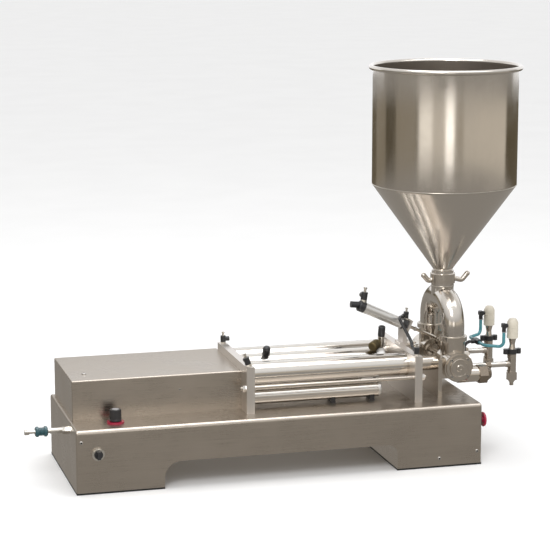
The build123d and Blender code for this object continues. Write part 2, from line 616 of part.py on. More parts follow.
# ================================================================ nozzles
def make_nozzles():
    bodies = []
    collars = []
    necks = []
    caps = []
    x = NOZZLE_X
    for name, y in HEADS.items():
        body = rod((x, y, 196), (x, y, 243), 10.5)
        body += hexagon((x, y, 177), (x, y, 196), 23.0)
        body += taper((x, y, 169), (x, y, 177), 5.0, 9.5)
        body += rod((x, y, NOZZLE_TIP_Z), (x, y, 170), 5.0)
        body += rod((x - 16, y, PIPE_Z), (x, y, PIPE_Z), 8.5)
        body -= rod((x, y, NOZZLE_TIP_Z - 1), (x, y, 244), 4.2)
        body -= rod((x - 17, y, PIPE_Z), (x, y, PIPE_Z), 5.0)
        bodies.append(body)

        wing = ring((x, y, 244), (x, y, 256), 12.0, 4.6)
        for side in (-1, 1):
            lobe = rod((x + side * 17, y, 243.5), (x + side * 17, y, 256.5), 6.2)
            wing += block(x + min(0, side * 16), x + max(0, side * 16), y - 4, y + 4, 245, 255) + lobe
        wing -= rod((x, y, 243), (x, y, 257), 4.6)
        wing += ring((x, y, 243), (x, y, 244), 10.0, 4.6)
        collars.append(wing)

        neck = taper((x, y, 256), (x, y, 268), 8.0, 6.5) + taper((x, y, 268), (x, y, 284), 6.5, 10.0)
        neck -= rod((x, y, 255), (x, y, 285), 3.0 + RUNNING_GAP)
        necks.append(neck)

        cap = rod((x, y, 284), (x, y, 322), 14.0)
        cap += taper((x, y, 322), (x, y, 334), 14.0, 9.0)
        cap = fillet(cap.edges().group_by(Axis.Z)[-1], 3.0)
        cap -= rod((x, y, 283), (x, y, 318), 11.0)
        caps.append(cap)

        needle = rod((x, y, NOZZLE_TIP_Z + 4), (x, y, 300), 3.0)
        needle += rod((x, y, 294), (x, y, 302), 11.0 - RUNNING_GAP)
        needle += taper((x, y, NOZZLE_TIP_Z), (x, y, NOZZLE_TIP_Z + 4), 1.0, 3.0)
        add("nozzle_needle_" + name, needle)

    add("nozzle_bodies", *bodies)
    add("nozzle_collars", *collars)
    add("nozzle_necks", *necks)
    add("nozzle_actuators", *caps)


# ================================================================ air fittings and tubes
def fitting_point(place, up_by, out_by=0.0):
    """Point on a screw-in fitting, up its axis and out along its side port."""
    foot, up, port, size = place
    shift = Vector(*up).normalized() * up_by + Vector(*port).normalized() * out_by
    point = Vector(*foot) + shift * size
    return (point.X, point.Y, point.Z)


def screw_fitting(place):
    """Banjo speed controller: nickel foot, black body, side port and needle."""
    size = place[3]

    def at(up_by, out_by=0.0):
        return fitting_point(place, up_by, out_by)

    foot_part = hexagon(at(-3), at(5), 13.0 * size)
    body = rod(at(5), at(22), 7.4 * size)
    body += rod(at(PORT_LIFT), at(PORT_LIFT, PORT_REACH), 6.4 * size)
    needle = rod(at(22), at(30), 3.0 * size) + rod(at(30), at(33), 4.2 * size)
    return foot_part, body, needle


def fitting_places():
    """Foot, axis, side port direction and size of every screw-in fitting."""
    return {
        "rear_front_port": ((REAR_MID, PORT_YS[0], PLATE_TOP), (-0.35, 0, 1), (0, 1, 0), 1.0),
        "rear_back_port": ((REAR_MID, PORT_YS[1], PLATE_TOP), (0, 0, 1), (1, 0, 0), 0.9),
        "front_front_port": ((FRONT_MID, PORT_YS[0], PLATE_TOP), (0, 0, 1), (0, 1, 0), 0.9),
        "actuator_tail": (on_slope(-ACT_LENGTH - 8, ACT_RADIUS - 1), (0.15, 0, 1), (0, 1, 0), 1.1),
        "actuator_nose": (on_slope(7, ACT_RADIUS - 1), (0.1, 0, 1), (-0.7, -0.7, 0), 0.9),
    }


def nozzle_elbow(y):
    """Push-in elbow on the left side of a nozzle actuator."""
    x = NOZZLE_X
    stem = rod((x - 19, y, ELBOW_Z), (x - 13, y, ELBOW_Z), 5.0)
    stem -= rod((x, y, 283), (x, y, 330), 14.0)
    joint = Pos(x - 23, y, ELBOW_Z) * Box(11, 12, 12)
    joint = fillet(joint.edges().filter_by(Axis.Y), 3.0)
    return stem + joint + rod((x - 23, y, ELBOW_Z - 6), (x - 23, y, TUBE_PORT_Z), 5.0)


def on_drive(x, height, lean=ELBOW_LEAN):
    """Point above the drive cylinder axis, leaning towards the front."""
    angle = math.radians(lean)
    return (x, MID_Y - height * math.sin(angle), TUBE_Z + height * math.cos(angle))


def drive_elbow():
    x = REAR_PLATE_X + 83
    seat = DRIVE_OUTER - 0.6
    elbow = rod(on_drive(x, seat), on_drive(x, seat + 6), 8.0)
    elbow += rod(on_drive(x, seat + 6), on_drive(x, seat + 22), 9.5)
    elbow += Pos(*on_drive(x, seat + 22)) * Sphere(9.5)
    return elbow - rod((x - 30, MID_Y, TUBE_Z), (x + 30, MID_Y, TUBE_Z), DRIVE_OUTER)


def exhaust_valve():
    """Nickel block with a black plug and a silencer, on the drive cylinder's front cap."""
    x = DRIVE_END + 15

    def up(height):
        return on_drive(x, height, EXHAUST_LEAN)

    column = rod(up(DRIVE_CAP_RADIUS - 1), up(60), 8.5)
    column -= rod((x - 15, MID_Y, TUBE_Z), (x + 15, MID_Y, TUBE_Z), DRIVE_CAP_RADIUS)
    plug = fillet(rod(up(60), up(86), 8.8).edges().sort_by(Axis.Z)[-1], 3.0)
    centre = Vector(*up(46))
    way = Vector(-22, -18, -6).normalized()

    def out(distance):
        point = centre + way * distance
        return (point.X, point.Y, point.Z)

    muffler = rod(out(6), out(17), 5.5) + fillet(rod(out(16), out(42), 12.2).edges(), 3.5)
    return column, plug, muffler - rod(up(20), up(70), 8.5)


def make_fittings():
    feet = []
    bodies = []
    needles = []
    for place in fitting_places().values():
        foot_part, body, needle = screw_fitting(place)
        foot_part -= rod(on_slope(-ACT_LENGTH - 20), on_slope(30), ACT_RADIUS + 0.8)
        foot_part -= block(REAR_PLATE_X, FRONT_PLATE_X + FRONT_PLATE_THICK, PLATE_Y0, PLATE_Y1, 250, PLATE_TOP)
        feet.append(foot_part)
        bodies.append(body)
        needles.append(needle)
    mount_x1 = MOUNT_PLATE_X + MOUNT_PLATE_THICK
    socket = hexagon((mount_x1, MID_Y, 190), (mount_x1 + 6, MID_Y, 190), 14.0)
    feet.append(socket + rod((mount_x1 + 6, MID_Y, 190), (mount_x1 + 14, MID_Y, 190), 5.5))
    column, plug, silencer = exhaust_valve()
    feet.append(column)
    bodies.append(plug)
    add("fitting_feet", *feet)
    add("fitting_bodies", *bodies)
    add("fitting_needles", *needles)

    tee = Pos(TEE_X, MID_Y, TEE_Z) * Box(14, 34, 12)
    tee = fillet(tee.edges().filter_by(Axis.Y), 3.0)
    tee += rod((TEE_X, MID_Y, TEE_Z), (TEE_X - 15, MID_Y, TEE_Z), 5.5)
    add("push_in_elbows", nozzle_elbow(FRONT_Y), nozzle_elbow(BACK_Y), drive_elbow(), tee)

    add("silencer", silencer)


def make_air_tubes():
    x = NOZZLE_X - 23
    runs = []
    for side, y in ((-1, FRONT_Y), (1, BACK_Y)):
        points = (
            (x, y, TUBE_PORT_Z),
            (x, y, TEE_Z),
            (TEE_X, MID_Y + side * 50, TEE_Z),
            (TEE_X, MID_Y + side * 17, TEE_Z),
        )
        runs.append(pipe(points, 14.0, AIR_TUBE_RADIUS))
    add("nozzle_air_tubes", *runs)

    socket_x = MOUNT_PLATE_X + MOUNT_PLATE_THICK + 14
    supply = (
        (TEE_X - 15, MID_Y, TEE_Z),
        (TEE_X - 34, MID_Y, TEE_Z),
        (TEE_X - 34, MID_Y, 190),
        (socket_x, MID_Y, 190),
    )
    places = fitting_places()
    nose = places["actuator_nose"]
    plate = places["front_front_port"]
    feed = (
        fitting_point(nose, PORT_LIFT, PORT_REACH),
        fitting_point(nose, PORT_LIFT, PORT_REACH + 28),
        fitting_point(plate, PORT_LIFT + 14, PORT_REACH + 24),
        fitting_point(plate, PORT_LIFT, PORT_REACH + 22),
        fitting_point(plate, PORT_LIFT, PORT_REACH),
    )
    add("supply_air_tubes", pipe(supply, 16.0, AIR_TUBE_RADIUS), pipe(feed, 14.0, AIR_TUBE_RADIUS))


# ================================================================ controls
def make_controls():
    bx = BASE_LENGTH
    y, z = BUTTON_AT
    collar = ring((bx, y, z), (bx + 3, y, z), 17.0, 8.0)
    add("button_collar", collar)
    button = rod((bx - 12, y, z), (bx + 11, y, z), 7.6)
    dome = rod((bx + 10, y, z), (bx + 18, y, z), 18.0)
    dome = fillet(dome.edges().group_by(Axis.X)[-1], 5.5)
    add("stop_button", button + dome)

    kx, ky = KNOB_AT
    disc = ring((kx, ky, BASE_TOP), (kx, ky, BASE_TOP + 4), 20.5, 5.0)
    add("regulator_ring", disc)
    knob = rod((kx, ky, BASE_TOP + 4.4), (kx, ky, BASE_TOP + 33), 14.5)
    knob = chamfer(knob.edges().group_by(Axis.Z)[-1], 1.2)
    for k in range(16):
        angle = 2 * math.pi * k / 16
        px = kx + 15.4 * math.cos(angle)
        py = ky + 15.4 * math.sin(angle)
        knob -= rod((px, py, BASE_TOP + 8), (px, py, BASE_TOP + 34), 1.5)
    knob += rod((kx, ky, BASE_TOP - 10), (kx, ky, BASE_TOP + 6), 4.6)
    add("regulator_knob", knob)

    sx, sz = SELECTOR_AT
    bezel = ring((sx, 0, sz), (sx, -5, sz), 15.0, 8.0)
    bezel += ring((sx, 0, sz), (sx, -8, sz), 13.0, 10.5)
    add("selector_bezel", bezel)
    grip = rod((sx, 10, sz), (sx, -9, sz), 7.6)
    grip += block(sx - 4, sx + 4, -19, -9, sz - 9.5, sz + 9.5)
    grip += rod((sx, -8.6, sz), (sx, -11, sz), 10.0)
    add("selector_switch", grip)

    screws = []
    for px, pz in ((891, 22), (988, 34), (12, 125)):
        head = rod((px, 0, pz), (px, -2.2, pz), 4.2)
        screws.append(chamfer(head.edges().sort_by(Axis.Y)[0], 0.8))
    add("screws", *screws, *housing_fasteners(), *cover_fasteners())


def make_inlet():
    y, z = INLET_Y, INLET_Z

    def at(x):
        return (x, y, z)

    nipple = rod(at(-78), at(14), NIPPLE_RADIUS)
    nipple += hexagon(at(-12), at(0), 17.0)
    nipple += hexagon(at(SHEET), at(SHEET + 5), 17.0)
    nipple += rod(at(-40), at(-12), 6.8)
    nipple -= rod(at(-79), at(15), 3.2)
    add("air_inlet_nipple", nipple)
    bore = NIPPLE_RADIUS + RUNNING_GAP
    sleeve = ring(at(SLEEVE_X0), at(SLEEVE_X1), 10.0, bore)
    for collar_x in (SLEEVE_X0 + 2, SLEEVE_X1 - 8):
        sleeve += ring(at(collar_x), at(collar_x + 6), 12.5, bore)
    add("air_inlet_sleeve", sleeve)
    plug = rod(at(-90), at(-78), 3.8)
    plug += rod(at(-101), at(-90), 6.0)
    plug -= rod(at(-102), at(-77), 2.4)
    add("air_inlet_plug", plug)


make_base()
make_housing()
make_plates()
make_drive()
make_carriage()
make_valves()
make_rotor()
make_actuator()
make_feed()
make_nozzles()
make_fittings()
make_air_tubes()
make_controls()
make_inlet()

boxes = [shape.bounding_box() for shape in parts.values()]
LOW = [min(getattr(box.min, axis) for box in boxes) for axis in "XYZ"]
HIGH = [max(getattr(box.max, axis) for box in boxes) for axis in "XYZ"]
SHIFT = (-(LOW[0] + HIGH[0]) / 2, -(LOW[1] + HIGH[1]) / 2, -LOW[2])

os.makedirs("parts", exist_ok=True)
for name, shape in parts.items():
    export_step(Pos(*SHIFT) * shape, "parts/" + name + ".step")
print("low", LOW, "high", HIGH, "shift", SHIFT, "pieces", len(parts))
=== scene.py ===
import bpy
import bmesh
import json
import math
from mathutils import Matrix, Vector


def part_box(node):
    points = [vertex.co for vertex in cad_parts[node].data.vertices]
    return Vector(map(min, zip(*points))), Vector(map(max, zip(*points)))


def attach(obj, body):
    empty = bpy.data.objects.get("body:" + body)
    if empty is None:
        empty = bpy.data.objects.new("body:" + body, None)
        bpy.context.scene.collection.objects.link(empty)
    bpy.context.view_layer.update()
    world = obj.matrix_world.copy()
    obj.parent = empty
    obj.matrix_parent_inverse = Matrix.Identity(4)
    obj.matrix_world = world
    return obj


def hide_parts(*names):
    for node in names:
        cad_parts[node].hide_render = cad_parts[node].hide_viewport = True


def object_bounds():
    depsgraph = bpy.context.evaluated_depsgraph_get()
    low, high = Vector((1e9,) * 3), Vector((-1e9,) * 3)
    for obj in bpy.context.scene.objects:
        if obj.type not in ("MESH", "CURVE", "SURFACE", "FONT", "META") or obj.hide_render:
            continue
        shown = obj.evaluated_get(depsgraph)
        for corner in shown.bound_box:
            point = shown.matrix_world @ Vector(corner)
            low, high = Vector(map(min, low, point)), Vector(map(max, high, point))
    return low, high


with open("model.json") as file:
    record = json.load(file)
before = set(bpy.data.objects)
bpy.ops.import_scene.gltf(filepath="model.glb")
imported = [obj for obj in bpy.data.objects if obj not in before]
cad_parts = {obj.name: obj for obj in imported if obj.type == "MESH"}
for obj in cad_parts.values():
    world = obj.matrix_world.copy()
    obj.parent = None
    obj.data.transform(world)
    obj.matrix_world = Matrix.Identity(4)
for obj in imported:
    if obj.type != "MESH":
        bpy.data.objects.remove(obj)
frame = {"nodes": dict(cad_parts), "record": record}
rest_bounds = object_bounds()
nodes = frame["nodes"]
MM = 0.001
X, Y, Z = Vector((1, 0, 0)), Vector((0, 1, 0)), Vector((0, 0, 1))


# ------------------------------------------------------------------ places
def low(node):
    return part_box(node)[0]


def high(node):
    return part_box(node)[1]


def middle(node):
    return (low(node) + high(node)) / 2


def islands(node):
    """(low, high) of every separate solid of a CAD node, in the row frame."""
    bm = bmesh.new()
    bm.from_mesh(nodes[node].data)
    bmesh.ops.remove_doubles(bm, verts=bm.verts[:], dist=1e-6)
    bm.verts.ensure_lookup_table()
    seen = set()
    found = []
    for seed in bm.verts:
        if seed.index in seen:
            continue
        stack = [seed]
        seen.add(seed.index)
        group = []
        while stack:
            v = stack.pop()
            group.append(v.co.copy())
            for edge in v.link_edges:
                other = edge.other_vert(v)
                if other.index not in seen:
                    seen.add(other.index)
                    stack.append(other)
        lo = Vector([min(p[k] for p in group) for k in range(3)])
        hi = Vector([max(p[k] for p in group) for k in range(3)])
        found.append((lo, hi))
    bm.free()
    return found


def joint_axis(name):
    joints = frame["record"]["behaviour"]["joints"]
    found = next(j for j in joints if j["name"] == name)
    return Vector(found["axis"]).normalized()


def scaled_points(pairs):
    """(height, radius) pairs in millimetres, turned into metres."""
    return [(height * MM, radius * MM) for height, radius in pairs]


# ------------------------------------------------------------------ materials
def node_tree(name):
    mat = bpy.data.materials.new(name)
    mat.use_nodes = True
    tree = mat.node_tree
    bsdf = tree.nodes["Principled BSDF"]
    return mat, tree, bsdf


def noise_node(tree, stretch, scale, detail=3.0, rough=0.55, offset=(0, 0, 0)):
    coords = tree.nodes.new("ShaderNodeTexCoord")
    mapping = tree.nodes.new("ShaderNodeMapping")
    mapping.inputs["Scale"].default_value = stretch
    mapping.inputs["Location"].default_value = offset
    tree.links.new(coords.outputs["Object"], mapping.inputs["Vector"])
    tex = tree.nodes.new("ShaderNodeTexNoise")
    tex.inputs["Scale"].default_value = scale
    tex.inputs["Detail"].default_value = detail
    tex.inputs["Roughness"].default_value = rough
    tree.links.new(mapping.outputs["Vector"], tex.inputs["Vector"])
    return tex


def ramp(tree, source, low_value, high_value, low_at=0.3, high_at=0.7):
    """Spread a 0..1 signal between two values."""
    span = tree.nodes.new("ShaderNodeMapRange")
    span.inputs["From Min"].default_value = low_at
    span.inputs["From Max"].default_value = high_at
    span.inputs["To Min"].default_value = low_value
    span.inputs["To Max"].default_value = high_value
    tree.links.new(source, span.inputs["Value"])
    return span.outputs["Result"]


def tint(tree, source, dark, light):
    colours = tree.nodes.new("ShaderNodeValToRGB")
    colours.color_ramp.elements[0].position = 0.3
    colours.color_ramp.elements[1].position = 0.7
    colours.color_ramp.elements[0].color = (*dark, 1)
    colours.color_ramp.elements[1].color = (*light, 1)
    tree.links.new(source, colours.inputs["Fac"])
    return colours.outputs["Color"]


def brighter(colour, by):
    return tuple(min(1.0, c * by) for c in colour)


def bump_chain(tree, bsdf, layers):
    """Layers of (signal, strength, distance) one on top of the other."""
    normal = None
    for signal, strength, distance in layers:
        bump = tree.nodes.new("ShaderNodeBump")
        bump.inputs["Strength"].default_value = strength
        bump.inputs["Distance"].default_value = distance
        tree.links.new(signal, bump.inputs["Height"])
        if normal is not None:
            tree.links.new(normal, bump.inputs["Normal"])
        normal = bump.outputs["Normal"]
    tree.links.new(normal, bsdf.inputs["Normal"])


# Noise stretch of each finish: long along the brushing direction, fine across it.
GRAIN_DEPTH = 0.00006
SKIN_DEPTH = 0.0001
GRAIN = {
    "x": (1.4, 260.0, 260.0),
    "z": (260.0, 260.0, 1.4),
    "none": (90.0, 90.0, 90.0),
}


def metal(name, colour, rough, grain="x", spread=0.06, depth=0.25, dents=0.0004):
    """Brushed or polished metal: fine grain, slow smudges and small dents."""
    mat, tree, bsdf = node_tree(name)
    fine = noise_node(tree, GRAIN[grain], 9.0, 4.0, 0.6)
    slow = noise_node(tree, (1.0, 1.0, 1.0), 9.0, 4.0, 0.6, (3.1, 1.7, 0.4))
    colour_out = tint(tree, fine.outputs["Fac"], brighter(colour, 1 - spread), brighter(colour, 1 + spread))
    tree.links.new(colour_out, bsdf.inputs["Base Color"])
    bsdf.inputs["Metallic"].default_value = 1.0
    mix = tree.nodes.new("ShaderNodeMath")
    mix.operation = "ADD"
    tree.links.new(ramp(tree, fine.outputs["Fac"], -0.05, 0.05), mix.inputs[0])
    tree.links.new(ramp(tree, slow.outputs["Fac"], rough - 0.05, rough + 0.06), mix.inputs[1])
    tree.links.new(mix.outputs[0], bsdf.inputs["Roughness"])
    bump_chain(tree, bsdf, [(slow.outputs["Fac"], 0.3, dents), (fine.outputs["Fac"], depth, GRAIN_DEPTH)])
    return mat


def plastic(name, colour, rough, spread=0.08, texture=0.2, coat=0.0, scale=900.0):
    """Moulded plastic or rubber with a fine skin and slow gloss changes."""
    mat, tree, bsdf = node_tree(name)
    fine = noise_node(tree, (1.0, 1.0, 1.0), scale, 2.0)
    slow = noise_node(tree, (1.0, 1.0, 1.0), 40.0, 4.0, 0.6, (0.7, 2.3, 1.9))
    colour_out = tint(tree, slow.outputs["Fac"], brighter(colour, 1 - spread), brighter(colour, 1 + spread))
    tree.links.new(colour_out, bsdf.inputs["Base Color"])
    tree.links.new(ramp(tree, slow.outputs["Fac"], rough - 0.06, rough + 0.08), bsdf.inputs["Roughness"])
    bsdf.inputs["Coat Weight"].default_value = coat
    bsdf.inputs["Coat Roughness"].default_value = 0.12
    bump_chain(tree, bsdf, [(fine.outputs["Fac"], texture, SKIN_DEPTH)])
    return mat


def glossy(name, colour, rough, spread=0.06):
    """Coloured air tube: glossy wall with faint flow lines."""
    mat, tree, bsdf = node_tree(name)
    slow = noise_node(tree, (1.0, 1.0, 1.0), 60.0, 3.0)
    colour_out = tint(tree, slow.outputs["Fac"], brighter(colour, 1 - spread), brighter(colour, 1 + spread))
    tree.links.new(colour_out, bsdf.inputs["Base Color"])
    tree.links.new(ramp(tree, slow.outputs["Fac"], rough - 0.04, rough + 0.06), bsdf.inputs["Roughness"])
    bsdf.inputs["Coat Weight"].default_value = 0.4
    bsdf.inputs["Coat Roughness"].default_value = 0.08
    return mat


SHEET_COLOUR = (0.465, 0.415, 0.36)
POLISHED_COLOUR = (0.70, 0.665, 0.62)
MACHINED_COLOUR = (0.58, 0.53, 0.47)
MATERIALS = {
    "stainless_panel": metal("stainless_panel", SHEET_COLOUR, 0.30, "x", 0.07, 0.3),
    "stainless_polished": metal("stainless_polished", POLISHED_COLOUR, 0.13, "x", 0.03, 0.12, 0.0002),
    "stainless_machined": metal("stainless_machined", MACHINED_COLOUR, 0.17, "none", 0.03, 0.07, 0.0003),
    "stainless_hopper": metal("stainless_hopper", (0.60, 0.56, 0.51), 0.17, "z", 0.05, 0.2, 0.0003),
    "aluminium": metal("aluminium", (0.70, 0.69, 0.67), 0.38, "none", 0.04, 0.3),
    "nickel": metal("nickel", (0.68, 0.65, 0.60), 0.2, "none", 0.03, 0.08),
    "black_plastic": plastic("black_plastic", (0.018, 0.018, 0.02), 0.36, coat=0.2),
    "grey_plastic": plastic("grey_plastic", (0.30, 0.30, 0.31), 0.42),
    "cream_plastic": plastic("cream_plastic", (0.62, 0.57, 0.47), 0.35, 0.04, coat=0.3),
    "red_plastic": plastic("red_plastic", (0.36, 0.008, 0.045), 0.3, 0.1, coat=0.5),
    "black_rubber": plastic("black_rubber", (0.012, 0.012, 0.012), 0.7, 0.2, 0.5, scale=500.0),
    "seal": plastic("seal", (0.03, 0.03, 0.03), 0.55, 0.1, 0.3),
    "sintered_bronze": metal("sintered_bronze", (0.16, 0.125, 0.065), 0.62, "none", 0.25, 1.0),
    "blue_tube": glossy("blue_tube", (0.07, 0.27, 0.31), 0.22),
    "black_tube": glossy("black_tube", (0.012, 0.012, 0.013), 0.25),
    "teal_sleeve": plastic("teal_sleeve", (0.018, 0.075, 0.09), 0.3, 0.1, coat=0.5),
    "steel_fastener": metal("steel_fastener", (0.55, 0.53, 0.50), 0.26, "none", 0.04, 0.1),
    "dark_steel": metal("dark_steel", (0.30, 0.25, 0.20), 0.24, "none", 0.05, 0.1),
}
WELD = metal("weld_bead", (0.48, 0.44, 0.38), 0.3, "none", 0.15, 0.4)
# Near-black finish laid on screw sockets and silencer pores: painted shade for the inside of those holes.
PAINTED_HOLE_SHADE = plastic("painted_hole_shade", (0.006, 0.006, 0.006), 0.8, 0.2, 0.1)
PLATE = metal("plate_finish", (0.70, 0.66, 0.62), 0.36, "z", 0.05, 0.3)
# Hopper lining: the hopper's stainless painted about half as bright and warmer, as painted shade for the
# inside of the hopper.
HOPPER_LINING_SHADED = metal("stainless_inside_painted_shade", (0.30, 0.26, 0.22), 0.36, "z", 0.08, 0.3)

for entry in frame["record"]["subparts"]:
    target = nodes[entry["node"]]
    target.data.materials.clear()
    target.data.materials.append(MATERIALS[entry["material_slot"]])
for name in ("rear_plate", "front_plate", "actuator_bracket"):
    nodes[name].data.materials[0] = PLATE
nodes["push_in_elbows"].data.materials[0] = MATERIALS["black_plastic"]


# ------------------------------------------------------------------ shapes
def keep(name, bm, body, slot_name, bevel=0.0, angle=32.0, mat=None, flat=False):
    """Turn a bmesh into a finished piece riding on a body."""
    bmesh.ops.recalc_face_normals(bm, faces=bm.faces[:])
    mesh = bpy.data.meshes.new(name)
    bm.to_mesh(mesh)
    bm.free()
    piece = bpy.data.objects.new(name, mesh)
    bpy.context.scene.collection.objects.link(piece)
    mesh.materials.append(mat or MATERIALS[slot_name])
    if not flat:
        for polygon in mesh.polygons:
            polygon.use_smooth = True
        mesh.set_sharp_from_angle(angle=math.radians(angle))
    if bevel:
        edge = piece.modifiers.new("edge", "BEVEL")
        edge.width = bevel
        edge.segments = 2
        edge.limit_method = "ANGLE"
        edge.angle_limit = math.radians(angle)
        edge.harden_normals = True
    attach(piece, body)
    return piece


def basis(axis):
    """Two directions across an axis, and the axis itself."""
    w = Vector(axis).normalized()
    ref = Z if abs(w.z) < 0.9 else X
    u = (ref - w * ref.dot(w)).normalized()
    return u, w.cross(u), w


def add_lathe(bm, start, axis, profile, count=64, closed=False):
    """Revolve (height, radius) pairs round an axis."""
    u, v, w = basis(axis)
    rings = []
    for height, radius in profile:
        centre = start + w * height
        if radius < 1e-7:
            rings.append([bm.verts.new(centre)])
            continue
        ring = []
        for k in range(count):
            a = 2 * math.pi * k / count
            ring.append(bm.verts.new(centre + (u * math.cos(a) + v * math.sin(a)) * radius))
        rings.append(ring)
    pairs = list(zip(rings, rings[1:]))
    if closed:
        pairs.append((rings[-1], rings[0]))
    for one, two in pairs:
        if len(one) == 1 and len(two) == 1:
            continue
        for k in range(count):
            n = (k + 1) % count
            if len(one) == 1:
                bm.faces.new((one[0], two[n], two[k]))
            elif len(two) == 1:
                bm.faces.new((one[k], one[n], two[0]))
            else:
                bm.faces.new((one[k], one[n], two[n], two[k]))
    if not closed:
        for ring, order in ((rings[0], -1), (rings[-1], 1)):
            if len(ring) > 2:
                bm.faces.new(ring[::order])


def lathe(name, body, slot_name, start, axis, profile, count=64, closed=False, **more):
    bm = bmesh.new()
    add_lathe(bm, start, axis, profile, count, closed)
    return keep(name, bm, body, slot_name, **more)


def add_prism(bm, start, axis, across, length, sides=6):
    """Regular prism of a given size across its flats."""
    u, v, w = basis(axis)
    radius = across / 2 / math.cos(math.pi / sides)
    rings = []
    for height in (0.0, length):
        centre = start + w * height
        ring = []
        for k in range(sides):
            a = 2 * math.pi * k / sides
            ring.append(bm.verts.new(centre + (u * math.cos(a) + v * math.sin(a)) * radius))
        rings.append(ring)
    bm.faces.new(rings[0][::-1])
    bm.faces.new(rings[1])
    for k in range(sides):
        n = (k + 1) % sides
        bm.faces.new((rings[0][k], rings[0][n], rings[1][n], rings[1][k]))


def add_box(bm, lo, hi):
    made = bmesh.ops.create_cube(bm, size=1.0)["verts"]
    bmesh.ops.scale(bm, vec=hi - lo, verts=made)
    bmesh.ops.translate(bm, vec=(lo + hi) / 2, verts=made)


def add_sweep(bm, points, radius, count):
    """Capped round tube along a list of points, without twist; radius(k) is its size at point k."""
    u, v, w = basis(points[1] - points[0])
    rings = []
    for k, point in enumerate(points):
        ahead = points[min(k + 1, len(points) - 1)] - points[max(k - 1, 0)]
        turn = w.rotation_difference(ahead.normalized())
        u = turn @ u
        v = turn @ v
        w = ahead.normalized()
        ring = []
        for n in range(count):
            a = 2 * math.pi * n / count
            ring.append(bm.verts.new(point + (u * math.cos(a) + v * math.sin(a)) * radius(k)))
        rings.append(ring)
    for one, two in zip(rings, rings[1:]):
        for k in range(count):
            n = (k + 1) % count
            bm.faces.new((one[k], one[n], two[n], two[k]))
    bm.faces.new(rings[0][::-1])
    bm.faces.new(rings[-1])


def remove_end_faces(bm):
    """Take away the flat faces that close a lathed shape."""
    for face in [f for f in bm.faces if len(f.verts) > 4]:
        bm.faces.remove(face)


def add_bead(bm, centre, axis, radius, thick, count=160, ripples=70, round_count=8):
    """Weld bead: a thin ring with small overlapping ripples."""
    u, v, w = basis(axis)
    rings = []
    for k in range(count):
        a = 2 * math.pi * k / count
        out = u * math.cos(a) + v * math.sin(a)
        size = thick * (1 + 0.12 * math.sin(ripples * a))
        ring = []
        for n in range(round_count):
            b = 2 * math.pi * n / round_count
            shift = out * (radius + size * math.cos(b)) + w * size * math.sin(b)
            ring.append(bm.verts.new(centre + shift))
        rings.append(ring)
    for k in range(count):
        one, two = rings[k], rings[(k + 1) % count]
        for n in range(round_count):
            m = (n + 1) % round_count
            bm.faces.new((one[n], one[m], two[m], two[n]))


# ------------------------------------------------------------------ hopper
SHEET = 2 * MM
RIM_ROLL = 6 * MM
NECK_RADIUS = 23 * MM
NECK_LENGTH = 1.5 * MM
NECK_BEND = 2 * MM
NECK_FLARE = 1.2 * MM
SEAM_ABOVE = 3 * MM
SEAM_BELOW = 5 * MM
SEAM_DRAW_IN = 3.2 * MM
WELD_SIZE = 1.1 * MM
LONG_WELD_SIZE = 0.9 * MM
LONG_WELD_STEPS = 60
LONG_WELD_ANGLE = math.radians(62)


def seam_height():
    """Height where the hopper's cylinder meets its cone, 4 mm below the upper opening."""
    openings = frame["record"]["physics"]["openings"]
    upper = next(o for o in openings if o["name"] == "hopper_upper")
    return upper["box_m"][0][2] - 4 * MM


def long_weld(bm, points):
    """Rippled weld bead along a straight seam."""
    add_sweep(bm, points, lambda k: LONG_WELD_SIZE + 0.15 * (k % 2) * MM, 8)


